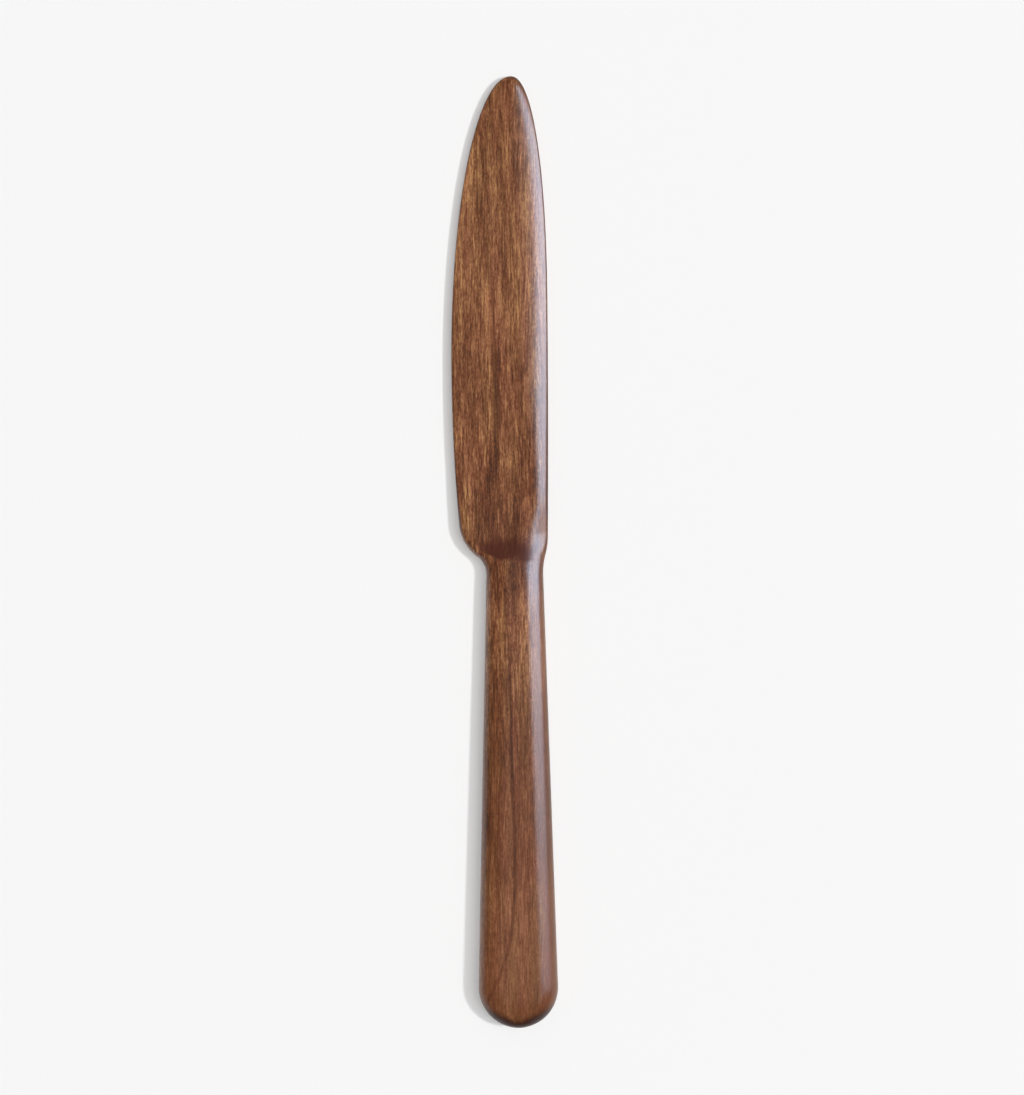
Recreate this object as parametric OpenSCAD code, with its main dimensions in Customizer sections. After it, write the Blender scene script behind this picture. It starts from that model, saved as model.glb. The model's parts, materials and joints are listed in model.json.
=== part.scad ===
// Wooden table knife, lying flat: a leaf-shaped blade whose tang is glued into the mortise of a rounded handle.
// The knife is drawn along Y with the neck joint at Y 0, the tip towards +Y and the spine towards +X,
// and is then laid on the table, which is Z 0, on the flat of its handle.

/* [Blade] */
// Length of the blade from the neck joint to the tip
blade_len = 123; // [105:1:140]
// Reach of the cutting edge from the knife's axis, at the belly
edge_reach = 15.55; // [13:0.05:18]
// Distance from the tip back to the belly of the cutting edge
belly_back = 73; // [60:1:90]
// Half length of the ellipse that brings the cutting edge in again behind the belly
heel_sweep = 90; // [70:1:120]
// Reach of the spine from the knife's axis, where it is widest
spine_reach = 8.85; // [8.4:0.05:10]
// Distance from the tip back to the widest place of the spine
spine_back = 58; // [45:1:90]
// Half length of the ellipse that brings the spine in again towards the neck
spine_sweep = 195; // [150:1:300]
// Fullness of the spine's curve to the tip, where 2 is an ellipse
spine_fullness = 2.25; // [2:0.05:3]
// Thickness of the blade along the spine, at the heel
spine_t = 4.4; // [3.4:0.1:6]
// Thickness of the blade along the spine, at the neck joint
root_t = 5.6; // [4:0.1:6.2]
// Thickness of the blade along the spine, near the tip
tip_t = 2.8; // [2:0.1:4]
// Thickness of the blunt cutting edge
edge_t = 1.3; // [1:0.1:2.4]
// Thickness of the cutting edge at the neck
heel_t = 4.4; // [3:0.1:5.2]
// Length over which the cutting edge thins from there
heel_thin = 25; // [10:1:50]
// Width of the rounding along the spine
spine_round = 6.3; // [3:0.1:7.5]
// Width of that rounding at the neck joint
flare_round = 6.8; // [4:0.1:8]
// Width of that rounding where it is narrowest
waist_round = 3.6; // [2.5:0.1:6]
// Distance from the neck joint to there
waist_at = 16; // [12:1:24]
// Length over which it grows again from there towards the tip
waist_ease = 42; // [20:1:60]
// Width of the rounding along the cutting edge
edge_round = 0.8; // [0.4:0.1:2]
// Length over which the tip rounds off in thickness
tip_nose = 3; // [1:0.1:8]

/* [Neck] */
// Width of the handle's front, before the neck flares into the blade
neck_w = 14.2; // [12.5:0.1:15.5]
// Thickness of the handle's front, before the neck is drawn in
neck_t = 7.6; // [7:0.1:9]
// How far each face of the neck is drawn in at the joint
neck_draw = 0.3; // [0.1:0.05:0.6]
// Distance from the neck joint to where the heel starts to turn in
heel_at = 9.8; // [8:0.1:14]
// Radius of the heel's corner
heel_round = 11.6; // [8:0.1:16]
// Radius of the hollow curve between heel and handle
neck_fillet = 5.8; // [4:0.1:9]
// Distance from the neck joint to where the spine starts to turn in
shoulder_at = 6.8; // [5:0.1:9]
// Radius of both curves of the spine's shoulder
shoulder_round = 19; // [10:0.5:30]
// Radius of the round cutter that left the hollow sweep at the blade's root
runout_round = 26; // [12:0.5:36]
// Distance from the neck joint to the crest of that sweep, where it comes nearest
crest_gap = 0.8; // [0.5:0.1:1.5]
// Distance from the axis to that place of the crest, towards the cutting edge
crest_side = 1.5; // [0.5:0.1:3]
// Width of the rounding on each side of the blade's root
root_round = 5.6; // [4:0.1:6.2]
// Length of the handle's front over which its rounding passes into the root's
root_ease = 5; // [3:0.5:9]

/* [Handle] */
// Length of the handle from the neck joint to the butt
handle_len = 117; // [100:1:130]
// Width of the handle where the butt starts to round off
butt_w = 20; // [16:0.1:24]
// Thickness of the handle where the butt starts to round off
butt_t = 9.6; // [8:0.1:11]
// Width of the rounding on each side of the handle
side_round = 5.2; // [3:0.1:6]
// Length of the butt's round end
butt_nose = 10.6; // [6:0.1:16]
// Fullness of the butt's rounding in thickness, where 2 is an ellipse
butt_fullness = 3; // [2:0.1:5]

/* [Tang joint] */
// Length of the tang
tang_len = 40; // [20:1:60]
// Width of the tang
tang_w = 8; // [5:0.1:9]
// Thickness of the tang
tang_t = 3.4; // [2.4:0.1:4]
// Room for glue on each side of the tang
glue_gap = 0.2; // [0.1:0.05:0.5]
// Room for glue at the end of the tang
glue_pocket = 1; // [0.2:0.1:4]

/* [Hidden] */

WOOD = "#84573c";
GLUE = "#c9a25e";

// Steps round each side of a section, and across the blade's face between them
SIDE_STEPS = 9;
FACE_STEPS = 4;
// Spacing of the sections along the neck, and along the blade
NECK_STEP = 0.5;
LONG_STEP = 7;
// Sections in the rounding of the tip and of the butt
END_STEPS = 14;
// Length of the stretch before the tip that has the closer sections
TIP_STRETCH = 18;
// An ellipse has this fullness
ELLIPSE = 2;
// Largest share of a section's width that each rounding may take
ROUND_SHARE = 0.45;
SPINE_SHARE = 0.36;
// How far a cut or a tang runs past the face that it starts from
OVERRUN = 1;

nose_start = butt_nose - handle_len;
neck_stretch = max(heel_at, shoulder_at);
handle_taper = (butt_w - neck_w) / 2 / -nose_start;
rest_slope = (butt_t - neck_t) / 2 / -nose_start;
rest_tilt = atan(rest_slope);
rest_lift = neck_t / 2 * cos(rest_tilt);
mid_x = (butt_w / 2 - edge_reach) / 2;
mid_y = (blade_len - handle_len) / 2 * cos(rest_tilt);

mortise_w = tang_w + 2 * glue_gap;
mortise_t = tang_t + 2 * glue_gap;
mortise_len = tang_len + glue_pocket;

// Share of its height that an ellipse has at the distance d from its centre, with run as its half width
function ellipse(d, run) = sqrt(max(0, 1 - pow(d / run, 2)));

// Share of full size left at the distance d into a round end of length run, with an ellipse or another fullness
function round_end(d, run) = ellipse(max(0, d), run);
function full_end(d, run, fullness) = pow(max(0, 1 - pow(max(0, d) / run, fullness)), 1 / fullness);

// Share of a change that is done at the share k of its length, with a soft start and end
function ease(k) = let (c = min(1, max(0, k))) c * c * (3 - 2 * c);

// Reach of the blade's outline at the distance d from the tip: full at front, and an ellipse behind it
function blade_reach(d, reach, front, back, fullness) =
    reach * (d < front ? full_end(front - d, front, fullness) : round_end(d - front, back));

// Slope of that outline at the distance d, behind front
function blade_slope(d, reach, front, back) =
    reach * (d - front) / (back * back * round_end(d - front, back));

function edge_blade(y) = blade_reach(blade_len - y, edge_reach, belly_back, heel_sweep, ELLIPSE);
function spine_blade(y) = blade_reach(blade_len - y, spine_reach, spine_back, spine_sweep, spine_fullness);

// Half width of the handle, with its taper carried on past the neck joint
function handle_half(y) =
    (neck_w / 2 - handle_taper * y) * round_end(nose_start - y, butt_nose);

// What a shoulder adds to the handle's half width: an outer arc that starts at the distance at, where it adds
// full at the slope given, and an inner arc that dies out in the handle's side
function shoulder(y, at, full, slope, outer, inner) =
    let (
        lean = atan(slope),
        turn = acos((inner + outer * cos(lean) - full) / (inner + outer)),
        crown_y = at + outer * sin(lean),
        crown = full + outer * (1 - cos(lean)),
        bend_y = crown_y - outer * sin(turn),
        start_y = bend_y - inner * sin(turn)
    )
    y >= bend_y ? crown - outer * (1 - round_end(crown_y - y, outer))
    : inner * (1 - round_end(y - start_y, inner));

heel_slope = blade_slope(blade_len - heel_at, edge_reach, belly_back, heel_sweep) + handle_taper;
heel_full = edge_blade(heel_at) - handle_half(heel_at);
spine_slope = blade_slope(blade_len - shoulder_at, spine_reach, spine_back, spine_sweep) + handle_taper;
spine_full = spine_blade(shoulder_at) - handle_half(shoulder_at);

// Outline of the knife from above: the edge at negative X and the spine at positive X
function edge_x(y) =
    y > heel_at ? -edge_blade(y)
    : -handle_half(y) - shoulder(y, heel_at, heel_full, heel_slope, heel_round, neck_fillet);
function spine_x(y) =
    y > shoulder_at ? spine_blade(y)
    : handle_half(y) + shoulder(y, shoulder_at, spine_full, spine_slope, shoulder_round, shoulder_round);

// Slope of the line that lies on two ellipses, with their centres gap apart, from a first guess of it
function belt_slope(guess, gap, r1, h1, r2, h2) =
    (norm([r2 * guess, h2]) - norm([r1 * guess, h1])) / gap;

// Height at x of a belt round two ellipses: r1 by h1 at the left limit, r2 by h2 at the right limit
function belt(x, left, right, r1, h1, r2, h2) =
    let (
        c1 = left + r1,
        c2 = right - r2,
        slope = belt_slope(belt_slope(0, c2 - c1, r1, h1, r2, h2), c2 - c1, r1, h1, r2, h2),
        k1 = norm([r1 * slope, h1]),
        k2 = norm([r2 * slope, h2])
    )
    x < c1 - r1 * r1 * slope / k1 ? h1 * ellipse(x - c1, r1)
    : x > c2 - r2 * r2 * slope / k2 ? h2 * ellipse(x - c2, r2)
    : k1 + slope * (x - c1);

// Half thickness of the handle, growing evenly towards the butt behind the neck's stretch
function handle_high(y) =
    (neck_t / 2 - rest_slope * y) * full_end(nose_start - y, butt_nose, butt_fullness)
    - neck_draw * min(1, max(0, 1 + y / neck_stretch));

// Width that the rounding takes on each side of the bar
function side_width(y) =
    min(side_round + (root_round - side_round) * ease(1 + y / root_ease), ROUND_SHARE * (spine_x(y) - edge_x(y)));

// Upper half of the rounded bar that the handle is, and that the blade's root was cut from
function bar_top(x, y) =
    let (r = side_width(y))
    belt(x, edge_x(y), spine_x(y), r, handle_high(y), r, handle_high(y));

// Width that the rounding takes along the blade's spine
function spine_width(y) =
    let (
        to_root = (flare_round - waist_round) * (1 - ease(y / waist_at)),
        to_tip = (spine_round - waist_round) * ease((y - waist_at) / waist_ease)
    )
    min(waist_round + to_root + to_tip, SPINE_SHARE * (spine_x(y) - edge_x(y)));

// Upper half of the blade, thick at the spine and thin at the edge, raised by the cutter's runout
function cut_top(x, y, rise) =
    let (
        width = spine_x(y) - edge_x(y),
        nose = round_end(y - (blade_len - tip_nose), tip_nose),
        long_t = spine_t + (tip_t - spine_t) * y / blade_len,
        spine_high = (long_t + (root_t - spine_t) * (1 - ease(y / waist_at))) / 2 * nose + rise,
        edge_high = (heel_t + (edge_t - heel_t) * ease(y / heel_thin)) / 2 * nose + rise
    )
    belt(x, edge_x(y), spine_x(y),
        min(edge_round, ROUND_SHARE * width), edge_high, spine_width(y), spine_high);

face_drop = max(0, bar_top(-crest_side, crest_gap) - cut_top(-crest_side, crest_gap, 0));
runout_start = crest_gap + runout_round * sin(acos(max(-1, 1 - face_drop / runout_round)));
function runout(y) = runout_round * (1 - round_end(min(runout_round, runout_start - y), runout_round));

function blade_top(x, y) = y <= 0 ? bar_top(x, y) : min(bar_top(x, y), cut_top(x, y, runout(y)));

// Places across a section from edge to spine: even angles round each side, and even steps between the sides
function across(y, steps) =
    let (left = edge_x(y), right = spine_x(y), r = side_width(y))
    concat(
        [for (i = [0 : SIDE_STEPS]) left + r * (1 - cos(90 * i / SIDE_STEPS))],
        [for (i = [1 : 1 : steps - 1]) left + r + (right - left - 2 * r) * i / steps],
        [for (i = [SIDE_STEPS : -1 : 0]) right - r * (1 - cos(90 * i / SIDE_STEPS))]
    );

// One section: its upper half from edge to spine, then its lower half back again
function section(y, steps, top) =
    let (places = across(y, steps), last = len(places) - 1)
    concat(
        [for (x = places) [x, y, top(x, y)]],
        [for (i = [last - 1 : -1 : 1]) [places[i], y, -top(places[i], y)]]
    );

// Places of the sections: even steps of about the given size, and closer ones into a round end
function even(from, to, step) =
    let (count = ceil(abs(to - from) / step)) [for (i = [0 : count - 1]) from + (to - from) * i / count];
function closing(from, to) = [for (i = [0 : END_STEPS - 1]) from + (to - from) * sin(90 * i / END_STEPS)];

blade_places = concat(
    even(0, neck_stretch, NECK_STEP),
    even(neck_stretch, blade_len - TIP_STRETCH, LONG_STEP),
    closing(blade_len - TIP_STRETCH, blade_len)
);
handle_places = concat(
    even(0, -neck_stretch, 2 * NECK_STEP),
    [-neck_stretch],
    closing(nose_start, -handle_len)
);

// Solid through the sections, closed by a flat face at the first and by one point at the end
module loft(sections, end) {
    ring = len(sections[0]);
    last = len(sections) - 1;
    apex = ring * len(sections);
    forward = end[1] > sections[0][0][1];
    faces = concat(
        [[for (i = [0 : ring - 1]) i]],
        [for (s = [0 : last - 1], i = [0 : ring - 1])
            [ring * s + i, ring * (s + 1) + i, ring * (s + 1) + (i + 1) % ring]],
        [for (s = [0 : last - 1], i = [0 : ring - 1])
            [ring * s + i, ring * (s + 1) + (i + 1) % ring, ring * s + (i + 1) % ring]],
        [for (i = [0 : ring - 1]) [ring * last + i, apex, ring * last + (i + 1) % ring]]
    );
    polyhedron(
        points = concat([for (s = sections) each s], [end]),
        faces = forward ? faces : [for (f = faces) [for (i = [len(f) - 1 : -1 : 0]) f[i]]]
    );
}

// Block on the axis that reaches back into the handle from the place front
module tang_block(w, t, length, front) {
    translate([-w / 2, -length, -t / 2]) cube([w, length + front, t]);
}

// The knife's own axes laid on the table, with the handle's flat down and the box centred on the origin
module lying() {
    translate([-mid_x, -mid_y, rest_lift]) rotate([-rest_tilt, 0, 0]) children();
}

module blade() {
    color(WOOD) lying() union() {
        loft([for (y = blade_places) section(y, FACE_STEPS, function(x, y) blade_top(x, y))], [0, blade_len, 0]);
        tang_block(tang_w, tang_t, tang_len, OVERRUN);
    }
}

module handle() {
    color(WOOD) lying() difference() {
        loft([for (y = handle_places) section(y, 1, function(x, y) bar_top(x, y))], [0, -handle_len, 0]);
        tang_block(mortise_w, mortise_t, mortise_len, OVERRUN);
    }
}

module tang_glue() {
    color(GLUE) lying() difference() {
        tang_block(mortise_w, mortise_t, mortise_len, 0);
        tang_block(tang_w, tang_t, tang_len, OVERRUN);
    }
}

blade();
handle();
tang_glue();
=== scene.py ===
"""Wooden table knife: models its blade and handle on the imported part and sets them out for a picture."""

import json
import math

import bmesh
import bpy
from bpy.props import FloatProperty, FloatVectorProperty, PointerProperty
from mathutils import Matrix, Vector


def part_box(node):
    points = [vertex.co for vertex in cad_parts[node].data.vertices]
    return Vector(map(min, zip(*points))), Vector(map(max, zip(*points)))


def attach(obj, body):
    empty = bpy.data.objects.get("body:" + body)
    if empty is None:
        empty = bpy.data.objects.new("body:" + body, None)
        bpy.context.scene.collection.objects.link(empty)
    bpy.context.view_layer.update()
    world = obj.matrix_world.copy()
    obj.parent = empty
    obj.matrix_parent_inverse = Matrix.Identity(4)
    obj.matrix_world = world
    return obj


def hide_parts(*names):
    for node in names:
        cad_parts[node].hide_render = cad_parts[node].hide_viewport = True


bl_info = {
    "name": "Wooden table knife",
    "version": (1, 0, 0),
    "blender": (4, 5, 0),
    "location": "View3D > Sidebar > Knife",
    "description": "Models a wooden table knife on its packed part and lights it for a picture from above",
    "category": "Add Mesh",
}

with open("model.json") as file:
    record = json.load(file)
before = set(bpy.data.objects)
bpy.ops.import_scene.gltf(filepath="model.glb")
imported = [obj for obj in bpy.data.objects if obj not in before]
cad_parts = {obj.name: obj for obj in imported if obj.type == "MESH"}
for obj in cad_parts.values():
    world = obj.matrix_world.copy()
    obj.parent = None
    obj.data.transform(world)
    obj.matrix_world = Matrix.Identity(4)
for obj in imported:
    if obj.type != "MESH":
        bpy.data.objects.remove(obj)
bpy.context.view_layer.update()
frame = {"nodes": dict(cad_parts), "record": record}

MM = 0.001

# The knife's own axes in the part's frame: it leans by TILT about X, because it lies on the flat of a
# tapering handle
BLADE_LOW, BLADE_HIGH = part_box("blade")
HANDLE_LOW, HANDLE_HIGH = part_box("handle")
UPPER_FLAT = next(m for m in frame["record"]["mounts"] if m["name"] == "turned_rest_face")
TILT = math.atan2(UPPER_FLAT["axis"][1], UPPER_FLAT["axis"][2]) / 2
NECK_T = 7.6 * MM
NECK_DRAW = 0.3 * MM
JOINT = Vector((
    (HANDLE_LOW.x + HANDLE_HIGH.x) / 2,
    HANDLE_HIGH.y - (NECK_T / 2 - NECK_DRAW) * math.sin(TILT),
    NECK_T / 2 * math.cos(TILT),
))
LYING = Matrix.Translation(JOINT) @ Matrix.Rotation(-TILT, 4, "X")

# Steps round each side of a section, across the blade's face and across the handle's flat
SIDE_STEPS = 14
FACE_STEPS = 20
FLAT_STEPS = 6
# Largest share of a section's width that a rounding may take: a side's, the spine's, and the spine's at the
# neck joint
ROUND_SHARE = 0.45
SPINE_SHARE = 0.36
FLARE_SHARE = 0.5
# Sections in the rounding of the tip and of the butt, and the stretch before the tip that has closer ones
END_STEPS = 40
TIP_STRETCH = 18 * MM
# Spacing of the sections along the blade's root, the handle's front, the blade and the handle
ROOT_STEP = 0.2 * MM
FRONT_STEP = 0.4 * MM
BLADE_STEP = 2 * MM
HANDLE_STEP = 5 * MM
# Shares of the half width towards the spine between which the hollow's crest dies out
CREST_END = (0.55, 0.85)
# Largest share of the height that the sanding of that crest may reach
CREST_SHARE = 0.4
# Face angle from which an edge shades as a crease
CREASE = math.radians(35)
# Half side of the paper, and how far under the knife it lies, so that their faces don't flicker
PAPER_HALF = 6.0
PAPER_DROP = 0.05 * MM


def linear(code):
    """Linear RGBA of an sRGB hex colour."""
    parts = [int(code[i:i + 2], 16) / 255 for i in (1, 3, 5)]
    return (*(c / 12.92 if c <= 0.04045 else ((c + 0.055) / 1.055) ** 2.4 for c in parts), 1.0)


def number(name, description, default, **more):
    """Property for a number, with the limits, unit or subtype given."""
    return FloatProperty(name=name, description=description, default=default, **more)


def size(name, description, default):
    """Property for a length, with its default in metres."""
    return number(name, description, default, min=0, precision=5, unit="LENGTH")


def angle(name, description, degrees):
    """Property for an angle, with its default in degrees."""
    return number(name, description, math.radians(degrees), subtype="ANGLE")


def colour(name, description, code):
    """Property for a colour, with its default as a hex code."""
    return FloatVectorProperty(
        name=name, description=description, default=linear(code), size=4, min=0, max=1, subtype="COLOR"
    )


class KnifeShape(bpy.types.PropertyGroup):
    """Sizes of the knife's pieces."""

    blade_len: size(
        "Blade length", "From the neck joint to the tip", (BLADE_HIGH.y - JOINT.y) / math.cos(TILT)
    )
    edge_reach: size("Edge reach", "From the axis to the cutting edge, at the belly", JOINT.x - BLADE_LOW.x)
    belly_back: size("Belly", "From the tip back to the widest place of the edge", 73 * MM)
    heel_sweep: size("Heel sweep", "Half length of the ellipse behind the belly", 90 * MM)
    spine_reach: size("Spine reach", "From the axis to the spine, at its widest", BLADE_HIGH.x - JOINT.x)
    spine_back: size("Spine crown", "From the tip back to the widest place of the spine", 58 * MM)
    spine_sweep: size("Spine sweep", "Half length of the ellipse behind the crown", 195 * MM)
    spine_fullness: number(
        "Spine fullness", "Fullness of the spine's curve to the tip, 2 is an ellipse", 2.25
    )
    spine_t: size("Spine thickness", "Thickness along the spine, at the heel", 4.4 * MM)
    root_t: size("Root thickness", "Thickness along the spine, at the neck joint", 5.6 * MM)
    tip_t: size("Tip thickness", "Thickness along the spine, near the tip", 2.8 * MM)
    edge_t: size("Edge thickness", "Thickness of the blunt cutting edge", 1.3 * MM)
    heel_t: size("Heel thickness", "Thickness of the cutting edge at the neck", 4.4 * MM)
    heel_thin: size("Heel thinning", "Length over which the cutting edge thins from there", 25 * MM)
    spine_round: size("Spine rounding", "Width of the rounding along the spine", 6.3 * MM)
    flare_round: size("Spine flare", "Width of that rounding at the neck joint", 8.2 * MM)
    waist_round: size("Spine waist", "Width of that rounding where it is narrowest", 3.6 * MM)
    waist_at: size("Waist place", "From the neck joint to there", 16 * MM)
    waist_ease: size("Waist easing", "Length over which it grows again from there towards the tip", 42 * MM)
    edge_round: size("Edge rounding", "Width of the rounding along the cutting edge", 0.8 * MM)
    tip_nose: size("Tip nose", "Length over which the tip rounds off in thickness", 3 * MM)
    neck_w: size("Neck width", "Width of the handle's front", 14.2 * MM)
    neck_t: size("Neck thickness", "Thickness of the handle's front, before the neck is drawn in", NECK_T)
    neck_draw: size("Neck draw", "How far each face of the neck is drawn in at the joint", NECK_DRAW)
    heel_at: size("Heel place", "From the neck joint to where the heel turns in", 9.8 * MM)
    heel_round: size("Heel radius", "Radius of the heel's corner", 11.6 * MM)
    neck_fillet: size("Neck fillet", "Radius of the hollow curve between heel and handle", 5.8 * MM)
    shoulder_at: size("Shoulder place", "From the neck joint to where the spine turns in", 6.8 * MM)
    shoulder_round: size("Shoulder radius", "Radius of both curves of the spine's shoulder", 19 * MM)
    runout_round: size("Runout radius", "Radius of the cutter that hollowed the blade's root", 26 * MM)
    crest_gap: size("Crest place", "From the neck joint to that hollow's crest, at its nearest", 1.3 * MM)
    crest_side: size("Crest side", "From the axis to that place, towards the cutting edge", 1.5 * MM)
    crest_soft: size("Crest softness", "Reach of the sanding on that crest, in height", 0.45 * MM)
    side_lead: size("Side lead", "How far behind the neck joint the spine's side starts to thin", 2.5 * MM)
    side_run: size("Side run", "From the neck joint to where that side is as thin as the blade", 8 * MM)
    root_round: size("Root rounding", "Width of the rounding on each side of the blade's root", 5.6 * MM)
    root_ease: size("Root easing", "Length of handle over which its rounding passes into the root's", 5 * MM)
    handle_len: size(
        "Handle length", "From the neck joint to the butt", (JOINT.y - HANDLE_LOW.y) / math.cos(TILT)
    )
    butt_w: size("Butt width", "Width where the butt starts to round off", HANDLE_HIGH.x - HANDLE_LOW.x)
    butt_t: size("Butt thickness", "Thickness where the butt starts to round off", 9.6 * MM)
    side_round: size("Side rounding", "Width of the rounding on each side of the handle", 5.2 * MM)
    butt_nose: size("Butt nose", "Length of the butt's round end", 10.6 * MM)
    butt_fullness: number(
        "Butt fullness", "Fullness of the butt's rounding in thickness, 2 is an ellipse", 3
    )
    tang_len: size("Tang length", "Length of the tang in the mortise", 40 * MM)
    tang_w: size("Tang width", "Width of the tang", 8 * MM)
    tang_t: size("Tang thickness", "Thickness of the tang", 3.4 * MM)
    glue_gap: size("Glue gap", "Room for glue on each side of the tang", 0.2 * MM)
    glue_pocket: size("Glue pocket", "Room for glue at the end of the tang", 1 * MM)


class KnifeWood(bpy.types.PropertyGroup):
    """Colours and grain of the wood and its finish."""

    deep: colour("Deep", "Darkest streaks", "#472717")
    dark: colour("Dark", "Late wood", "#683c23")
    body: colour("Body", "Main tone of the wood", "#7f4f33")
    light: colour("Light", "Early wood", "#986646")
    pale: colour("Pale", "Palest flecks", "#ba865a")
    # Painted shade, over end grain that took up more stain: the dark hollow at the blade's root
    hollow: colour("Hollow", "Stained wood in the hollow of the blade's root", "#4c261d")
    # Painted shade: the dark line along the blade's steep edges, and at the butt's end painted shade over
    # end grain that took up more stain
    rim_shade_and_end_grain: colour("Rim", "Stained wood along the blade's edges and the butt's end", "#321b15")
    red_cast: colour("Red cast", "Tint of the redder streaks", "#fff6f4")
    ochre_cast: colour("Ochre cast", "Tint of the yellower streaks", "#faffee")
    gloss: number("Finish roughness", "Roughness of the satin finish", 0.285)
    glue: colour("Glue", "Hardened glue round the tang", "#c9a25e")
    glue_cloud: colour("Glue clouds", "Cloudy places in the glue", "#a87c3c")


class KnifeStage(bpy.types.PropertyGroup):
    """Floor, light and camera."""

    paper: colour("Paper", "Colour of the paper that the knife lies on", "#f8f8f8")
    key_far: size("Key distance", "From the knife to the key, top and fill lamps", 9.0)
    key_height: angle("Key elevation", "Height of the key lamp over the table", 57)
    key_wide: size("Key size", "Side of the key lamp's panel, and of the fill lamp's", 0.7)
    key_level: number("Key level", "Light on the table from the key lamp", 0.345)
    top_height: angle("Top elevation", "Height of the top lamp over the table", 72)
    top_wide: size("Top size", "Side of the top lamp's panel", 4.4)
    top_level: number("Top level", "Light on the table from the top lamp", 0.3)
    fill_height: angle("Fill elevation", "Height of the fill lamp over the table", 60)
    fill_level: number("Fill level", "Light on the table from the fill lamp", 0.22)
    glow_far: size("Softbox distance", "From the knife to the softbox", 3.0)
    glow_height: angle("Softbox elevation", "Height of the softbox over the table", 39.5)
    glow_tall: size("Softbox height", "Height of the softbox", 3.3)
    glow_from: number("Softbox start", "Its end towards the butt", 0.05, unit="LENGTH")
    glow_to: number("Softbox end", "Its end towards the tip", 1.0, unit="LENGTH")
    glow_tint: colour("Softbox tint", "Colour of the softbox", "#cae4ff")
    glow_level: number("Softbox level", "Brightness of the softbox", 17.2)
    sky_top: number("Overhead level", "Brightness of the room straight above", 0.18)
    sky_side: number("Side level", "Brightness of the room at table height", 0.1)
    paper_glow: number("Paper glow", "Share of its own light in the seen paper", 0.18)
    lens: number("Lens", "Focal length of the camera", 120, subtype="DISTANCE_CAMERA")
    view_tall: size("View height", "Height of the picture at the knife", 276.2 * MM)
    view_x: size("View centre X", "Middle of the picture across the knife", 2.13 * MM)
    view_y: size("View centre Y", "Middle of the picture along the knife", 0.97 * MM)
    view_turn: angle("View turn", "Turn of the picture", -0.506)


def ellipse(d, run):
    """Share of its height that an ellipse of the half width run has at the distance d from its centre."""
    return math.sqrt(max(0.0, 1 - (d / run) ** 2))


def round_end(d, run, fullness=2.0):
    """Share of full size left at the distance d into a round end of length run."""
    return max(0.0, 1 - (max(0.0, d) / run) ** fullness) ** (1 / fullness)


def ease(k):
    """Share of a change that is done at the share k of its length, with a soft start and end."""
    k = min(1.0, max(0.0, k))
    return k * k * (3 - 2 * k)


def belt(x, left, right, r1, h1, r2, h2):
    """Height at x of a belt round two ellipses: r1 by h1 at the left limit, r2 by h2 at the right limit."""
    c1, c2 = left + r1, right - r2
    slope = 0.0
    # The slope is slight, so two rounds settle it
    for _ in range(2):
        slope = (math.hypot(r2 * slope, h2) - math.hypot(r1 * slope, h1)) / (c2 - c1)
    k1, k2 = math.hypot(r1 * slope, h1), math.hypot(r2 * slope, h2)
    if k1 == 0 or k2 == 0:
        return 0.0
    if x < c1 - r1 * r1 * slope / k1:
        return h1 * ellipse(x - c1, r1)
    if x > c2 - r2 * r2 * slope / k2:
        return h2 * ellipse(x - c2, r2)
    return k1 + slope * (x - c1)


def soft_min(a, b, reach):
    """The lower of two heights, with the crease between them sanded over the given reach."""
    if reach <= 0:
        return min(a, b)
    near = max(0.0, reach - abs(a - b)) / reach
    return min(a, b) - near * near * reach / 4


def even_steps(start, end, step):
    """Places from start to just before end, in even steps of about the given size."""
    count = math.ceil(abs(end - start) / step)
    return [start + (end - start) * i / count for i in range(count)]


def closing_steps(start, end):
    """Places from start to just before end that lie closer and closer, for a round end."""
    return [start + (end - start) * math.sin(math.pi / 2 * i / END_STEPS) for i in range(END_STEPS)]


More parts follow.
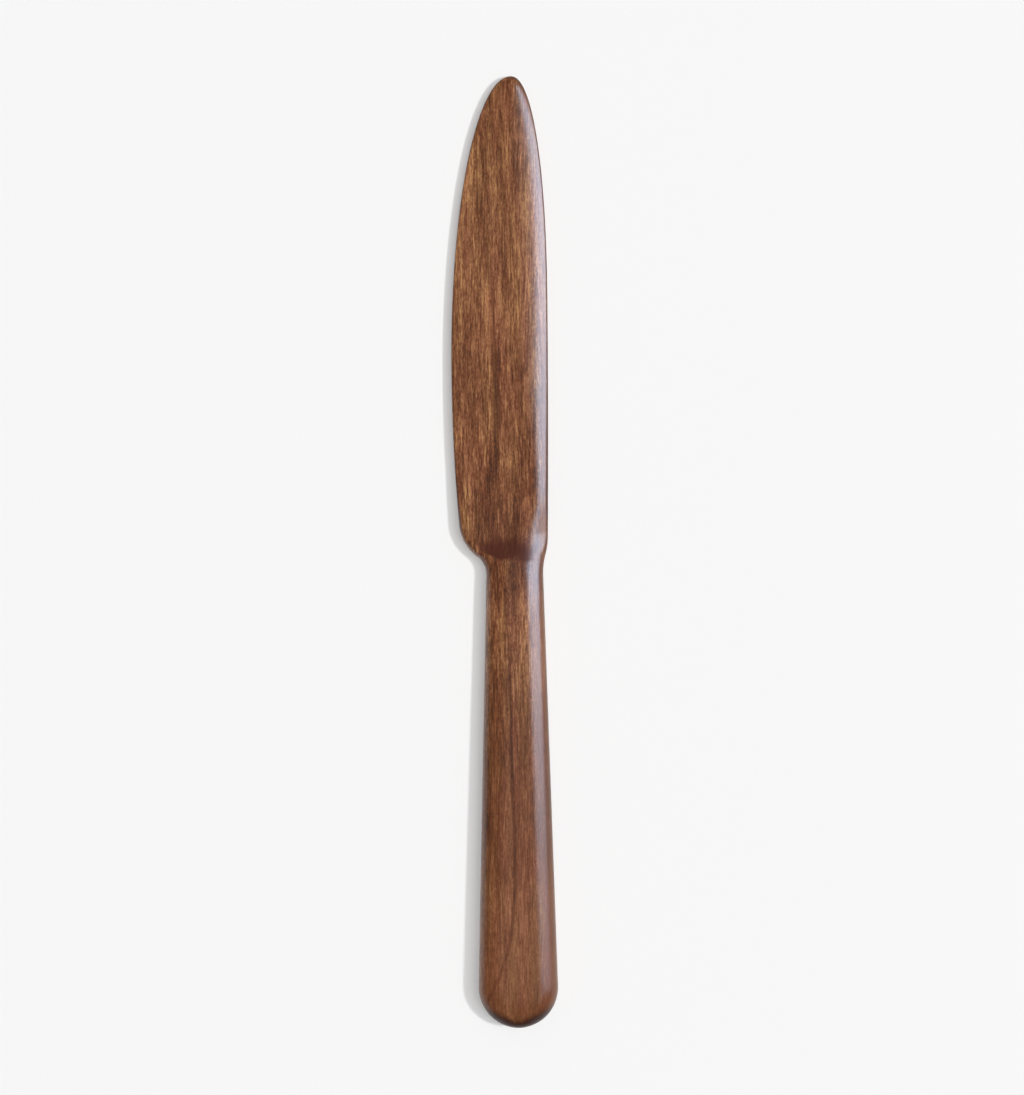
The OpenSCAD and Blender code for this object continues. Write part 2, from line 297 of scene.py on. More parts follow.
class KnifeForm:
    """The knife's curves in its own axes: Y from the neck joint to the tip, X to the spine, Z up."""

    def __init__(self, sizes):
        s = self.s = sizes
        self.nose_start = s.butt_nose - s.handle_len
        self.neck_stretch = max(s.heel_at, s.shoulder_at)
        self.widen = (s.butt_w - s.neck_w) / 2 / -self.nose_start
        self.thicken = (s.butt_t - s.neck_t) / 2 / -self.nose_start
        self.heel = self.shoulder_arcs(
            s.heel_at, self.edge_blade(s.heel_at), s.edge_reach, s.belly_back, s.heel_sweep,
            s.heel_round, s.neck_fillet
        )
        self.shoulder = self.shoulder_arcs(
            s.shoulder_at, self.spine_blade(s.shoulder_at), s.spine_reach, s.spine_back, s.spine_sweep,
            s.shoulder_round, s.shoulder_round
        )
        # The cutter's arc rises from the blade's face and meets the bar at the crest
        crest = (-s.crest_side, s.crest_gap)
        drop = max(0.0, self.bar_top(*crest) - self.cut_top(*crest, s.root_t))
        turn = math.acos(max(-1.0, 1 - drop / s.runout_round))
        self.runout_start = s.crest_gap + s.runout_round * math.sin(turn)

    def blade_reach(self, d, reach, front, back, fullness=2.0):
        """Reach of the blade's outline at the distance d from the tip, widest at the distance front."""
        return reach * (round_end(front - d, front, fullness) if d < front else round_end(d - front, back))

    def edge_blade(self, y):
        """From the axis to the cutting edge, as if the blade went on past its heel."""
        s = self.s
        back = s.blade_len - y
        return self.blade_reach(back, s.edge_reach, s.belly_back, s.heel_sweep)

    def spine_blade(self, y):
        """From the axis to the spine, as if the blade went on past its shoulder."""
        s = self.s
        back = s.blade_len - y
        return self.blade_reach(back, s.spine_reach, s.spine_back, s.spine_sweep, s.spine_fullness)

    def handle_half(self, y):
        """Half width of the handle, with its taper carried on past the neck joint."""
        s = self.s
        return (s.neck_w / 2 - self.widen * y) * round_end(self.nose_start - y, s.butt_nose)

    def shoulder_arcs(self, at, blade_half, reach, front, back, outer, inner):
        """Outer arc from the blade's outline at the place given, and inner arc that ends in the handle."""
        behind = self.s.blade_len - at - front
        lean = math.atan(reach * behind / (back * back * round_end(behind, back)) + self.widen)
        full = blade_half - self.handle_half(at)
        turn = math.acos((inner + outer * math.cos(lean) - full) / (inner + outer))
        crown_y = at + outer * math.sin(lean)
        bend_y = crown_y - outer * math.sin(turn)
        return {
            "crown_y": crown_y, "crown": full + outer * (1 - math.cos(lean)), "outer": outer,
            "bend_y": bend_y, "start_y": bend_y - inner * math.sin(turn), "inner": inner,
        }

    def flare(self, y, arcs):
        """What a shoulder adds to the handle's half width."""
        if y >= arcs["bend_y"]:
            return arcs["crown"] - arcs["outer"] * (1 - round_end(arcs["crown_y"] - y, arcs["outer"]))
        return arcs["inner"] * (1 - round_end(y - arcs["start_y"], arcs["inner"]))

    def edge_x(self, y):
        """Outline of the knife on the cutting edge's side."""
        if y > self.s.heel_at:
            return -self.edge_blade(y)
        return -self.handle_half(y) - self.flare(y, self.heel)

    def spine_x(self, y):
        """Outline of the knife on the spine's side."""
        if y > self.s.shoulder_at:
            return self.spine_blade(y)
        return self.handle_half(y) + self.flare(y, self.shoulder)

    def width(self, y):
        """Width of the knife."""
        return self.spine_x(y) - self.edge_x(y)

    def side_width(self, y):
        """Width that the rounding takes on each side of the handle's bar."""
        s = self.s
        grown = s.side_round + (s.root_round - s.side_round) * ease(1 + y / s.root_ease)
        return min(grown, ROUND_SHARE * self.width(y))

    def bar_top(self, x, y):
        """Upper half of the rounded bar that the handle is, and that the blade's root was cut from."""
        s = self.s
        full = s.neck_t / 2 - self.thicken * y
        high = full * round_end(self.nose_start - y, s.butt_nose, s.butt_fullness)
        high -= s.neck_draw * min(1.0, max(0.0, 1 + y / self.neck_stretch))
        r = self.side_width(y)
        return belt(x, self.edge_x(y), self.spine_x(y), r, high, r, high)

    def spine_width(self, y):
        """Width that the rounding takes along the blade's spine."""
        s = self.s
        near_root = 1 - ease(y / s.waist_at)
        to_root = (s.flare_round - s.waist_round) * near_root
        to_tip = (s.spine_round - s.waist_round) * ease((y - s.waist_at) / s.waist_ease)
        share = SPINE_SHARE + (FLARE_SHARE - SPINE_SHARE) * near_root
        return min(s.waist_round + to_root + to_tip, share * self.width(y))

    def cut_top(self, x, y, root_t):
        """Upper half of the blade, thick at the spine and thin at the edge, for a thickness at its root."""
        s = self.s
        nose = round_end(y - (s.blade_len - s.tip_nose), s.tip_nose)
        edge_high = (s.heel_t + (s.edge_t - s.heel_t) * ease(y / s.heel_thin)) / 2 * nose
        spine_t = s.spine_t + (s.tip_t - s.spine_t) * y / s.blade_len
        spine_high = (spine_t + (root_t - s.spine_t) * (1 - ease(y / s.waist_at))) / 2 * nose
        edge_width = min(s.edge_round, ROUND_SHARE * self.width(y))
        spine_width = self.spine_width(y)
        return belt(x, self.edge_x(y), self.spine_x(y), edge_width, edge_high, spine_width, spine_high)

    def runout(self, y):
        """Rise of the hollow that the cutter left as it ran out."""
        radius = self.s.runout_round
        return radius * (1 - round_end(min(radius, self.runout_start - y), radius))

    def top(self, x, y):
        """Upper half of the knife: the bar, and from the neck on what the cutter left of it.

        The hollow's crest is sanded. It dies out towards the spine's side, which thins evenly to the blade.
        """
        s = self.s
        bar = self.bar_top(x, y)
        if y < -s.side_lead:
            return bar
        cut = self.cut_top(x, y, s.root_t) + self.runout(y)
        crested = soft_min(bar, cut, min(s.crest_soft, CREST_SHARE * min(bar, cut)))
        thinned = ease((y + s.side_lead) / (s.side_run + s.side_lead))
        even = bar + (self.cut_top(x, y, s.spine_t) - bar) * thinned
        side = ease((x / self.spine_x(y) - CREST_END[0]) / (CREST_END[1] - CREST_END[0]))
        return crested + (even - crested) * side

    def section(self, y, left_r, right_r, steps):
        """Ring of points at y: the upper half from edge to spine, then the lower half back again."""
        left, right = self.edge_x(y), self.spine_x(y)
        turns = [1 - math.cos(math.pi / 2 * i / SIDE_STEPS) for i in range(SIDE_STEPS + 1)]
        inner = right - left - left_r - right_r
        across = [left + left_r * t for t in turns]
        across += [left + left_r + inner * i / steps for i in range(1, steps)]
        across += [right - right_r * t for t in reversed(turns)]
        upper = [Vector((x, y, self.top(x, y))) for x in across]
        return upper + [Vector((p.x, y, -p.z)) for p in reversed(upper[1:-1])]

    def blade_section(self, y):
        """Section of the blade, whose points keep to its own roundings once it is clear of the neck."""
        s = self.s
        clear = ease(y / s.heel_at)
        most = ROUND_SHARE * self.width(y)
        left_r = min(most, s.root_round + (s.edge_round - s.root_round) * clear)
        right_r = min(most, s.root_round + (self.spine_width(y) - s.root_round) * clear)
        return self.section(y, left_r, right_r, FACE_STEPS)

    def handle_section(self, y):
        """Section of the handle, whose points keep to the roundings of its sides."""
        r = self.side_width(y)
        return self.section(y, r, r, FLAT_STEPS)

    def block_section(self, y, w, t, steps):
        """Ring of points round a rectangle on the axis, in step with the rings of a section."""
        up = [t / 2 * i / SIDE_STEPS for i in range(SIDE_STEPS)]
        upper = [Vector((-w / 2, y, z)) for z in up]
        upper += [Vector((w * (i / steps - 0.5), y, t / 2)) for i in range(steps + 1)]
        upper += [Vector((w / 2, y, z)) for z in reversed(up)]
        return upper + [Vector((p.x, y, -p.z)) for p in reversed(upper[1:-1])]


def extrude_ring(mesh, ring, points):
    """Extrudes a closed ring of vertices and moves the new ring to the points given, in the same order."""
    edges = [mesh.edges.get(pair) for pair in zip(ring, ring[1:] + ring[:1])]
    grown = set(bmesh.ops.extrude_edge_only(mesh, edges=edges)["geom"])
    new = [next(e.other_vert(v) for e in v.link_edges if e.other_vert(v) in grown) for v in ring]
    for vert, point in zip(new, points):
        vert.co = point
    return new


def loft_piece(name, rings, pole):
    """Closed piece through rings of points, capped at the first and drawn together at the pole."""
    mesh = bmesh.new()
    ring = bmesh.ops.create_circle(mesh, cap_ends=True, segments=len(rings[0]), radius=MM)["verts"]
    for vert, point in zip(ring, rings[0]):
        vert.co = point
    for points in rings[1:]:
        ring = extrude_ring(mesh, ring, points)
    ring = extrude_ring(mesh, ring, [pole] * len(ring))
    bmesh.ops.pointmerge(mesh, verts=ring, merge_co=pole)
    bmesh.ops.transform(mesh, matrix=LYING, verts=mesh.verts)
    bmesh.ops.recalc_face_normals(mesh, faces=mesh.faces)
    for face in mesh.faces:
        face.smooth = True
    for edge in mesh.edges:
        edge.smooth = edge.calc_face_angle(0.0) < CREASE
    data = bpy.data.meshes.new(name)
    mesh.to_mesh(data)
    mesh.free()
    piece = bpy.data.objects.new(name, data)
    bpy.context.scene.collection.objects.link(piece)
    return piece


def add_node(tree, kind, inputs=None, **settings):
    """Adds a node with its settings, and sets or links its inputs."""
    node = tree.nodes.new(kind)
    for name, value in settings.items():
        setattr(node, name, value)
    for name, value in (inputs or {}).items():
        if isinstance(value, bpy.types.NodeSocket):
            tree.links.new(value, node.inputs[name])
        else:
            node.inputs[name].default_value = value
    return node


def empty_tree(owner):
    """Node tree of a new material or world, with nothing in it."""
    owner.use_nodes = True
    owner.node_tree.nodes.clear()
    return owner.node_tree


# Layers of the wood's figure: width and length of a streak in mm, detail of its noise, and its share of the
# tone. Walnut's pores are finer than this, and are drawn as coarse as they need to show
GRAIN_LAYERS = (
    ("bands", 7.0, 38.0, 2.0, 0.6),
    ("streaks", 1.3, 18.0, 2.0, 0.75),
    ("lines", 0.38, 7.0, 1.0, 1.05),
    ("flecks", 0.3, 2.4, 1.0, 0.9),
    ("pores", 0.28, 0.75, 0.0, 0.6),
)
# Step in the noise from each layer to the next, so that no two are alike
LAYER_STEP = (7.3, 3.1, 5.7)
# How much deeper than wide a streak is
GRAIN_DEPTH = 2.5
# How far the grain wanders to the side, and over what width and length
WANDER = (1.1 * MM, 14 * MM, 60 * MM)
# Middle of a noise's values, and of the scale of tones
MIDDLE = 0.5
# Tone at which the wood has each of its colours
TONE_STOPS = (("deep", 0.0), ("dark", 0.28), ("body", MIDDLE), ("light", 0.72), ("pale", 1.0))
# Streaks of redder and of yellower cast: their width and length, their place in the noise, and the range of
# its values from the one to the other
CAST_SIZE = (2.2 * MM, 26 * MM)
CAST_PLACE = (9.1, 4.7, 3.0)
CAST_RANGE = (0.35, 0.65)
# Index of refraction of the finish, and its specular level on the wood and under the marks of painted shade
# and stain
FINISH_IOR = 1.52
FINISH_SHINE, SHADE_AND_STAIN_SHINE = 0.5, 0.2

# Along each piece, at distances from the neck joint in mm: its tone, and the strength of the figure
BLADE_TONE = (
    (0, 0.39, 1), (10, 0.43, 1), (20, 0.44, 1), (43, 0.46, 1), (74, 0.62, 1), (105, 0.53, 1),
    (123, 0.44, 1),
)
HANDLE_TONE = (
    (-117, 0.31, 0.5), (-94, 0.47, 0.6), (-70, 0.38, 0.66), (-47, 0.36, 0.7), (-18, 0.51, 1),
    (-5, 0.39, 1), (0, 0.34, 1),
)
# Painted shade on each piece, partly over end grain that took up more stain: its colour and depth, and the
# limits between which it sets in, by how far the surface faces the tip, by how flat it lies, or by the
# distance from the neck joint in mm
BLADE_STAIN_AND_SHADE = (
    # The hollow: painted shade where its faces turn towards the tip, fading out towards the cutting edge and
    # towards the tip, over end grain that took up more stain
    ("hollow", 0.9, (("forward", 0.03, 0.19), ("x", -11.0, -5.5), ("y", 22.0, 12.0))),
    # The blade's steep edges, from a little past the neck joint: painted shade
    ("rim_shade_and_end_grain", 0.7, (("flat", 0.8, 0.55), ("y", 3.0, 12.0))),
)
HANDLE_STAIN_AND_SHADE = (
    # The butt's end, which faces away from the tip: painted shade over end grain that took up more stain
    ("rim_shade_and_end_grain", 0.95, (("forward", -0.2, -0.65),)),
)
# Painted highlight: the figure is calmer on the spine's side, as if washed out by the softbox's highlight
# there: how far the surface faces that side where this starts and where it ends, and the share of the figure
# that is left there
SIDE_FIGURE = (0.15, 0.4, 0.45)
# Share of a vein's half width that has its full depth
VEIN_CORE = 0.2
# Range in a layer's noise over which a vein comes out of its breaks, and its share in those breaks
VEIN_BREAK = (0.36, 0.56, 0.3)
# Veins along each piece: path as Y and X in mm from the neck joint, strength there, half width in mm, depth
# in tone, which is below 0 in a pale vein, and the layer that breaks it
BLADE_VEINS = (
    {
        "path": (
            (8, -9.4), (13, -8.6), (28, -4.8), (41, -4.1), (58, -5), (74, -6.1), (88, -8), (98, -9),
        ),
        "strength": (0, 0.6, 1, 1, 0.7, 1, 0.9, 0),
        "width": 1.6, "depth": 0.34, "broken_by": "flecks",
    },
    {
        "path": ((36, -6.4), (44, -6), (54, -6.2), (64, -6), (72, -6.6)),
        "strength": (0, 1, 0.7, 1, 0),
        "width": 1.0, "depth": -0.22, "broken_by": "lines",
    },
    # The third is a pale strip that follows the cutting edge behind the heel, lighter than the wood beside
    # it
    {
        "path": ((3, -9.8), (8, -11.4), (14, -11.8), (26, -12.4), (44, -13.8)),
        "strength": (0.6, 1, 1, 0.6, 0),
        "width": 2.3, "depth": -0.22, "broken_by": "lines",
    },
)
HANDLE_VEINS = (
    {
        "path": (
            (-111, -8.2), (-107, -6.4), (-100, -3.4), (-92, -1.6), (-77, -0.6), (-52, -1.1), (-30, -1.4),
            (-6, -2.4),
        ),
        "strength": (0.25, 0.45, 0.5, 0.6, 0.7, 1, 0.9, 0),
        "width": 0.6, "depth": 0.45, "broken_by": "lines",
    },
    {
        "path": ((-16, -0.8), (-9, -0.7), (-4, -0.6), (0, -0.6)),
        "strength": (0, 0.6, 1, 1),
        "width": 2.4, "depth": 0.2, "broken_by": "lines",
    },
)


def add_course(tree, straight, places, values):
    """Value along the knife that runs in a curve through those at the places, in mm from the neck joint."""
    ys = [JOINT.y + y * MM for y in places]
    run = add_node(tree, "ShaderNodeMapRange", {0: straight.outputs["Y"], 1: ys[0], 2: ys[-1]})
    course = add_node(tree, "ShaderNodeFloatCurve", {"Value": run.outputs[0]})
    points = [((y - ys[0]) / (ys[-1] - ys[0]), value) for y, value in zip(ys, values)]
    curve = course.mapping.curves[0]
    curve.points[0].location = points[0]
    curve.points[-1].location = points[-1]
    for point in points[1:-1]:
        curve.points.new(*point)
    course.mapping.update()
    return course.outputs[0]


def add_vein(tree, straight, tone, layers, vein):
    """Tone with a vein taken from it, which follows its path and is broken by a layer of the figure."""
    places = [y for y, _ in vein["path"]]
    xs = [JOINT.x + x * MM for _, x in vein["path"]]
    low, high = min(xs) - MM, max(xs) + MM
    path = add_course(tree, straight, places, [(x - low) / (high - low) for x in xs])
    middle = add_node(tree, "ShaderNodeMapRange", {0: path, 3: low, 4: high})
    off = add_node(tree, "ShaderNodeMath", {
        0: straight.outputs["X"], 1: middle.outputs[0],
    }, operation="SUBTRACT")
    away = add_node(tree, "ShaderNodeMath", {0: off.outputs[0]}, operation="ABSOLUTE")
    half = vein["width"] * MM
    core = add_node(tree, "ShaderNodeMapRange", {
        0: away.outputs[0], 1: half * VEIN_CORE, 2: half, 3: vein["depth"], 4: 0.0,
    }, interpolation_type="SMOOTHSTEP")
    strength = add_course(tree, straight, places, vein["strength"])
    held = add_node(tree, "ShaderNodeMath", {0: core.outputs[0], 1: strength}, operation="MULTIPLY")
    start, end, least = VEIN_BREAK
    broken = add_node(tree, "ShaderNodeMapRange", {
        0: layers[vein["broken_by"]], 1: start, 2: end, 3: least, 4: 1.0,
    })
    mark = add_node(tree, "ShaderNodeMath", {
        0: held.outputs[0], 1: broken.outputs[0],
    }, operation="MULTIPLY")
    return add_node(tree, "ShaderNodeMath", {0: tone, 1: mark.outputs[0]}, operation="SUBTRACT").outputs[0]


def add_stain_and_shade(tree, straight, facing, depth, limits):
    """Share of a mark of painted shade and stain, which has its full depth where all its limits are passed.
    """
    flat = add_node(tree, "ShaderNodeMath", {0: facing.outputs["Z"]}, operation="ABSOLUTE")
    sources = {
        "forward": (facing.outputs["Y"], 0.0, 1.0), "flat": (flat.outputs[0], 0.0, 1.0),
        "x": (straight.outputs["X"], JOINT.x, MM), "y": (straight.outputs["Y"], JOINT.y, MM),
    }
    share = depth
    for source, start, end in limits:
        value, zero, unit = sources[source]
        passed = add_node(tree, "ShaderNodeMapRange", {
            0: value, 1: zero + start * unit, 2: zero + end * unit,
        }, interpolation_type="SMOOTHSTEP")
        share = add_node(tree, "ShaderNodeMath", {
            0: passed.outputs[0], 1: share,
        }, operation="MULTIPLY").outputs[0]
    return share


def add_figure(tree, place):
    """Tone of the wood's figure, about the middle of the scale, and the noise of each of its layers."""
    layers = {}
    tone = MIDDLE - MIDDLE * sum(share for *_, share in GRAIN_LAYERS)
    for count, (layer, wide, long, detail, share) in enumerate(GRAIN_LAYERS):
        scaled = add_node(tree, "ShaderNodeMapping", {
            "Vector": place, "Location": tuple(count * step for step in LAYER_STEP),
            "Scale": (1 / (wide * MM), 1 / (long * MM), 1 / (GRAIN_DEPTH * wide * MM)),
        })
        noise = add_node(tree, "ShaderNodeTexNoise", {
            "Vector": scaled.outputs[0], "Scale": 1.0, "Detail": detail,
        })
        layers[layer] = noise.outputs["Fac"]
        tone = add_node(tree, "ShaderNodeMath", {
            0: layers[layer], 1: share, 2: tone,
        }, operation="MULTIPLY_ADD").outputs[0]
    return tone, layers


def add_tone(tree, straight, facing, figure, tone_along):
    """Tone along a piece: the figure at the level and strength given there, painted calmer on the spine's
    side as if washed out by the highlight.
    """
    places, levels, strengths = zip(*tone_along)
    level = add_course(tree, straight, places, levels)
    strength = add_course(tree, straight, places, strengths)
    # Painted highlight: less figure where the surface faces the spine's side and the softbox
    start, end, left = SIDE_FIGURE
    calmest = add_node(tree, "ShaderNodeMath", {0: strength, 1: left}, operation="MULTIPLY")
    calm = add_node(tree, "ShaderNodeMapRange", {
        0: facing.outputs["X"], 1: start, 2: end, 3: strength, 4: calmest.outputs[0],
    })
    swing = add_node(tree, "ShaderNodeMath", {0: figure, 1: MIDDLE}, operation="SUBTRACT")
    return add_node(tree, "ShaderNodeMath", {
        0: swing.outputs[0], 1: calm.outputs[0], 2: level,
    }, operation="MULTIPLY_ADD").outputs[0]


def add_colour(tree, place, tone, look):
    """Colour of the wood for its tone, with a cast that turns from red to ochre in slow streaks."""
    ramp = add_node(tree, "ShaderNodeValToRGB", {0: tone})
    while len(ramp.color_ramp.elements) < len(TONE_STOPS):
        ramp.color_ramp.elements.new(MIDDLE)
    for element, (tint, position) in zip(ramp.color_ramp.elements, TONE_STOPS):
        element.position = position
        element.color = getattr(look, tint)
    wide, long = CAST_SIZE
    scaled = add_node(tree, "ShaderNodeMapping", {
        "Vector": place, "Location": CAST_PLACE, "Scale": (1 / wide, 1 / long, 1 / wide),
    })
    noise = add_node(tree, "ShaderNodeTexNoise", {"Vector": scaled.outputs[0], "Scale": 1.0, "Detail": 2.0})
    start, end = CAST_RANGE
    share = add_node(tree, "ShaderNodeMapRange", {0: noise.outputs["Fac"], 1: start, 2: end})
    cast = add_node(tree, "ShaderNodeMix", {
        "Factor": share.outputs[0], 6: tuple(look.red_cast), 7: tuple(look.ochre_cast),
    }, data_type="RGBA")
    return add_node(tree, "ShaderNodeMix", {
        "Factor": 1.0, 6: ramp.outputs[0], 7: cast.outputs[2],
    }, data_type="RGBA", blend_type="MULTIPLY").outputs[2]


def wood(name, tone_along, veins, stains_and_shade):
    """Stained walnut under a satin clear finish.

    The fibres run along the knife. They show as short flecks, as fine lines and as broader streaks and bands
    that wander slowly to the side, and a few veins follow the growth rings. In the hollow of the blade's
    root, where its faces turn towards the tip, and at the butt's end the colour is painted darker and the
    finish shines
    less: painted shade over end grain that took up more stain. Along the blade's steep edges a dark line of
    painted shade is drawn, with less shine too. On the spine's side the figure is painted calmer, as if
    washed out by the highlight there. Elsewhere the thin finish gives soft highlights.
    """
    look = bpy.context.scene.knife_wood
    material = bpy.data.materials.new(name)
    tree = empty_tree(material)
    coord = add_node(tree, "ShaderNodeTexCoord")
    straight = add_node(tree, "ShaderNodeSeparateXYZ", {0: coord.outputs["Object"]})
    facing = add_node(tree, "ShaderNodeSeparateXYZ", {0: coord.outputs["Normal"]})
    amount, across, along = WANDER
    slow = add_node(tree, "ShaderNodeMapping", {
        "Vector": coord.outputs["Object"], "Scale": (1 / across, 1 / along, 1 / across),
    })
    wander = add_node(tree, "ShaderNodeTexNoise", {"Vector": slow.outputs[0], "Scale": 1.0, "Detail": 1.0})
    place = add_node(tree, "ShaderNodeVectorMath", {
        0: wander.outputs["Color"], 1: (2 * amount, 0, 2 * amount), 2: coord.outputs["Object"],
    }, operation="MULTIPLY_ADD").outputs[0]

    figure, layers = add_figure(tree, place)
    tone = add_tone(tree, straight, facing, figure, tone_along)
    for vein in veins:
        tone = add_vein(tree, straight, tone, layers, vein)
    stained_and_shaded = add_colour(tree, place, tone, look)
    shade_and_stain_share = 0.0
    # Marks of painted shade, partly over end grain that took up more stain, darken the wood and dull its
    # finish
    for tint, depth, limits in stains_and_shade:
        share = add_stain_and_shade(tree, straight, facing, depth, limits)
        stained_and_shaded = add_node(tree, "ShaderNodeMix", {
            "Factor": share, 6: stained_and_shaded, 7: tuple(getattr(look, tint)),
        }, data_type="RGBA").outputs[2]
        shade_and_stain_share = add_node(tree, "ShaderNodeMath", {0: share, 1: shade_and_stain_share}, operation="MAXIMUM").outputs[0]
    shine = add_node(tree, "ShaderNodeMapRange", {0: shade_and_stain_share, 3: FINISH_SHINE, 4: SHADE_AND_STAIN_SHINE})
    shader = add_node(tree, "ShaderNodeBsdfPrincipled", {
        "Base Color": stained_and_shaded, "Roughness": look.gloss, "IOR": FINISH_IOR,
        "Specular IOR Level": shine.outputs[0],
    })
    add_node(tree, "ShaderNodeOutputMaterial", {"Surface": shader.outputs[0]})
    return material


# Size of the clouds in the glue, its roughness and its index of refraction
GLUE_CLOUD = 2 * MM
GLUE_ROUGHNESS = 0.35
GLUE_IOR = 1.53


def hardened_glue():
    """Hardened hide glue: clear amber with a cloudy, uneven surface where it was squeezed out thin."""
    look = bpy.context.scene.knife_wood
    material = bpy.data.materials.new("hardened_hide_glue")
    tree = empty_tree(material)
    coord = add_node(tree, "ShaderNodeTexCoord")
    clouds = add_node(tree, "ShaderNodeTexNoise", {
        "Vector": coord.outputs["Object"], "Scale": 1 / GLUE_CLOUD, "Detail": 3.0,
    })
    tint = add_node(tree, "ShaderNodeMix", {
        "Factor": clouds.outputs["Fac"], 6: tuple(look.glue), 7: tuple(look.glue_cloud),
    }, data_type="RGBA")
    shader = add_node(tree, "ShaderNodeBsdfPrincipled", {
        "Base Color": tint.outputs[2], "Roughness": GLUE_ROUGHNESS, "IOR": GLUE_IOR,
    })
    add_node(tree, "ShaderNodeOutputMaterial", {"Surface": shader.outputs[0]})
    return material


def matt_paper(stage):
    """Matt white studio paper, which shows with even light of its own and keeps part of the shadow."""
    material = bpy.data.materials.new("matt_white_paper")
    tree = empty_tree(material)
    ray = add_node(tree, "ShaderNodeLightPath")
    seen = ray.outputs["Is Camera Ray"]
    for kind in ("Is Glossy Ray", "Is Transmission Ray"):
        seen = add_node(tree, "ShaderNodeMath", {
            0: seen, 1: ray.outputs[kind],
        }, operation="MAXIMUM").outputs[0]
    share = add_node(tree, "ShaderNodeMath", {0: seen, 1: stage.paper_glow}, operation="MULTIPLY")
    lit = add_node(tree, "ShaderNodeBsdfDiffuse", {"Color": tuple(stage.paper)})
    own = add_node(tree, "ShaderNodeEmission", {"Color": tuple(stage.paper), "Strength": 1.0})
    mix = add_node(tree, "ShaderNodeMixShader", {0: share.outputs[0], 1: lit.outputs[0], 2: own.outputs[0]})
    add_node(tree, "ShaderNodeOutputMaterial", {"Surface": mix.outputs[0]})
    return material


def lay_paper(scene, stage):
    """Lays the sheet of paper that the knife lies on."""
    ground = bmesh.new()
    bmesh.ops.create_grid(ground, x_segments=1, y_segments=1, size=PAPER_HALF)
    data = bpy.data.meshes.new("paper")
    ground.to_mesh(data)
    ground.free()
    paper = bpy.data.objects.new("paper", data)
    paper.location.z = -PAPER_DROP
    scene.collection.objects.link(paper)
    data.materials.append(matt_paper(stage))


def add_lamp(scene, name, height, away, tall, long, along):
    """Rectangular lamp that faces the knife's side, at an elevation, a distance and a shift along it."""
    data = bpy.data.lights.new(name, "AREA")
    data.shape = "RECTANGLE"
    data.size = long
    data.size_y = tall
    lamp = bpy.data.objects.new(name, data)
    towards = Vector((math.cos(height), 0, math.sin(height)))
    lamp.location = away * towards + Vector((0, along, 0))
    lamp.rotation_euler = (-towards).to_track_quat("-Z", "Y").to_euler()
    scene.collection.objects.link(lamp)
    return lamp


def set_lamps(scene, stage):
    """Sets a key lamp, a broad top lamp and a softbox on the spine's side, and a fill lamp opposite."""
    lamps = (
        ("key_lamp", stage.key_height, stage.key_wide, stage.key_level),
        ("top_lamp", stage.top_height, stage.top_wide, stage.top_level),
        ("fill_lamp", math.pi - stage.fill_height, stage.key_wide, stage.fill_level),
    )
    # The finish mirrors none of these three, and the fill lamp throws no shadow
    for name, height, wide, level in lamps:
        lamp = add_lamp(scene, name, height, stage.key_far, wide, wide, 0.0)
        lamp.data.energy = level * (math.pi * stage.key_far) ** 2 / math.sin(height)
        lamp.data.use_shadow = name != "fill_lamp"
        lamp.visible_glossy = False
    # Only the finish mirrors the tall softbox
    long, middle = stage.glow_to - stage.glow_from, (stage.glow_to + stage.glow_from) / 2
    glow = add_lamp(scene, "softbox", stage.glow_height, stage.glow_far, stage.glow_tall, long, middle)
    glow.data.color = stage.glow_tint[:3]
    glow.data.energy = stage.glow_level * math.pi * stage.glow_tall * long
    glow.visible_diffuse = False


def light_room(scene, stage):
    """Gives the room its light, bright above and dimmer towards the table."""
    scene.world = bpy.data.worlds.new("room")
    tree = empty_tree(scene.world)
    coord = add_node(tree, "ShaderNodeTexCoord")
    parts = add_node(tree, "ShaderNodeSeparateXYZ", {0: coord.outputs["Generated"]})
    level = add_node(tree, "ShaderNodeMapRange", {
        0: parts.outputs["Z"], 1: 0.0, 2: 1.0, 3: stage.sky_side, 4: stage.sky_top,
    })
    light = add_node(tree, "ShaderNodeBackground", {"Color": (1, 1, 1, 1), "Strength": level.outputs[0]})
    add_node(tree, "ShaderNodeOutputWorld", {"Surface": light.outputs[0]})


def set_camera(scene, stage):
    """Sets the camera straight above the knife."""
    data = bpy.data.cameras.new("camera")
    data.lens = stage.lens
    camera = bpy.data.objects.new("camera", data)
    above = stage.view_tall * data.lens / data.sensor_width
    camera.location = (stage.view_x, stage.view_y, JOINT.z + above)
    camera.rotation_euler = (0, 0, stage.view_turn)
    scene.collection.objects.link(camera)
    scene.camera = camera


class KNIFE_OT_blade(bpy.types.Operator):
    """Models the blade with its root and tang"""

    bl_idname = "knife.blade"
    bl_label = "Blade"

    def execute(self, context):
        s = context.scene.knife_shape
        form = KnifeForm(s)
        places = even_steps(0, form.neck_stretch, ROOT_STEP)
        places += even_steps(form.neck_stretch, s.blade_len - TIP_STRETCH, BLADE_STEP)
        places += closing_steps(s.blade_len - TIP_STRETCH, s.blade_len)
        rings = [form.block_section(y, s.tang_w, s.tang_t, FACE_STEPS) for y in (-s.tang_len, 0)]
        rings += [form.blade_section(y) for y in places]
        piece = loft_piece("walnut_blade", rings, Vector((0, s.blade_len, 0)))
        piece.data.materials.append(wood("walnut_blade_satin", BLADE_TONE, BLADE_VEINS, BLADE_STAIN_AND_SHADE))
        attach(piece, "root")
        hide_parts("blade")
        return {"FINISHED"}


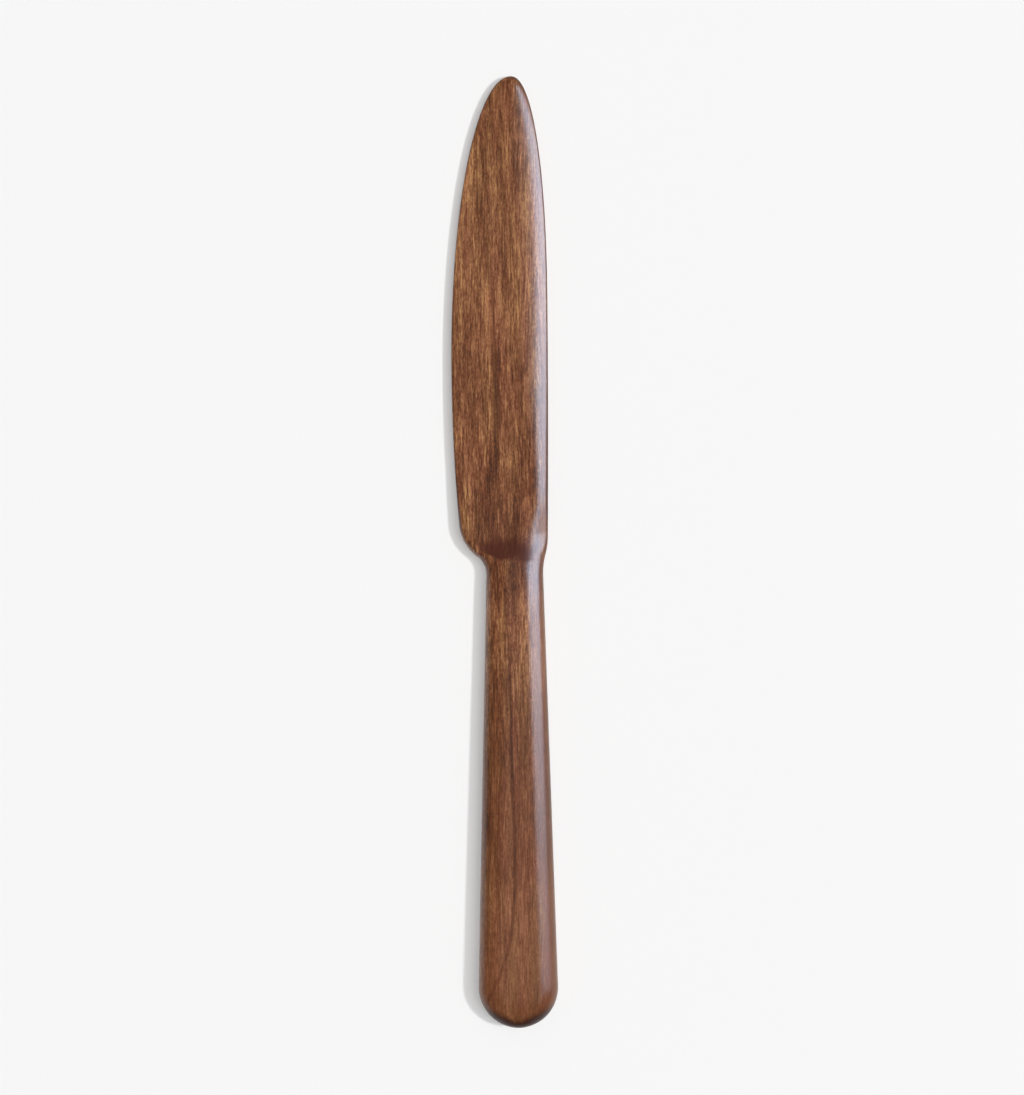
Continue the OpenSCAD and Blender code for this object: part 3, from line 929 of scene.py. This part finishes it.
class KNIFE_OT_handle(bpy.types.Operator):
    """Models the handle with its mortise"""

    bl_idname = "knife.handle"
    bl_label = "Handle"

    def execute(self, context):
        s = context.scene.knife_shape
        form = KnifeForm(s)
        places = even_steps(0, -form.neck_stretch, FRONT_STEP)
        places += even_steps(-form.neck_stretch, form.nose_start, HANDLE_STEP)
        places += closing_steps(form.nose_start, -s.handle_len)
        mortise_w, mortise_t = s.tang_w + 2 * s.glue_gap, s.tang_t + 2 * s.glue_gap
        ends = (-s.tang_len - s.glue_pocket, 0)
        rings = [form.block_section(y, mortise_w, mortise_t, FLAT_STEPS) for y in ends]
        rings += [form.handle_section(y) for y in places]
        piece = loft_piece("walnut_handle", rings, Vector((0, -s.handle_len, 0)))
        piece.data.materials.append(wood("walnut_handle_satin", HANDLE_TONE, HANDLE_VEINS, HANDLE_STAIN_AND_SHADE))
        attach(piece, "root")
        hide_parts("handle")
        return {"FINISHED"}


class KNIFE_OT_tang_glue(bpy.types.Operator):
    """Gives the glue bed round the tang its material"""

    bl_idname = "knife.tang_glue"
    bl_label = "Tang glue"

    def execute(self, context):
        bed = frame["nodes"]["tang_glue"]
        bed.data.materials.clear()
        bed.data.materials.append(hardened_glue())
        return {"FINISHED"}


class KNIFE_OT_stage(bpy.types.Operator):
    """Lays the paper and sets the lamps, the room's light and the camera"""

    bl_idname = "knife.stage"
    bl_label = "Stage"

    def execute(self, context):
        scene = context.scene
        stage = scene.knife_stage
        scene.view_settings.view_transform = "Standard"
        lay_paper(scene, stage)
        set_lamps(scene, stage)
        light_room(scene, stage)
        set_camera(scene, stage)
        return {"FINISHED"}


class KNIFE_PT_sidebar(bpy.types.Panel):
    """Steps that model and set out the knife"""

    bl_idname = "KNIFE_PT_sidebar"
    bl_label = "Wooden table knife"
    bl_space_type = "VIEW_3D"
    bl_region_type = "UI"
    bl_category = "Knife"

    def draw(self, context):
        for step in STEPS:
            self.layout.operator(step.bl_idname)


GROUPS = {"knife_shape": KnifeShape, "knife_wood": KnifeWood, "knife_stage": KnifeStage}
STEPS = (KNIFE_OT_blade, KNIFE_OT_handle, KNIFE_OT_tang_glue, KNIFE_OT_stage)
CLASSES = (*GROUPS.values(), *STEPS, KNIFE_PT_sidebar)


def register():
    for cls in CLASSES:
        bpy.utils.register_class(cls)
    for name, group in GROUPS.items():
        setattr(bpy.types.Scene, name, PointerProperty(type=group))


def unregister():
    for name in GROUPS:
        delattr(bpy.types.Scene, name)
    for cls in reversed(CLASSES):
        bpy.utils.unregister_class(cls)


def main():
    register()
    bpy.ops.knife.blade()
    bpy.ops.knife.handle()
    bpy.ops.knife.tang_glue()
    bpy.ops.knife.stage()


if __name__ == "__main__":
    main()
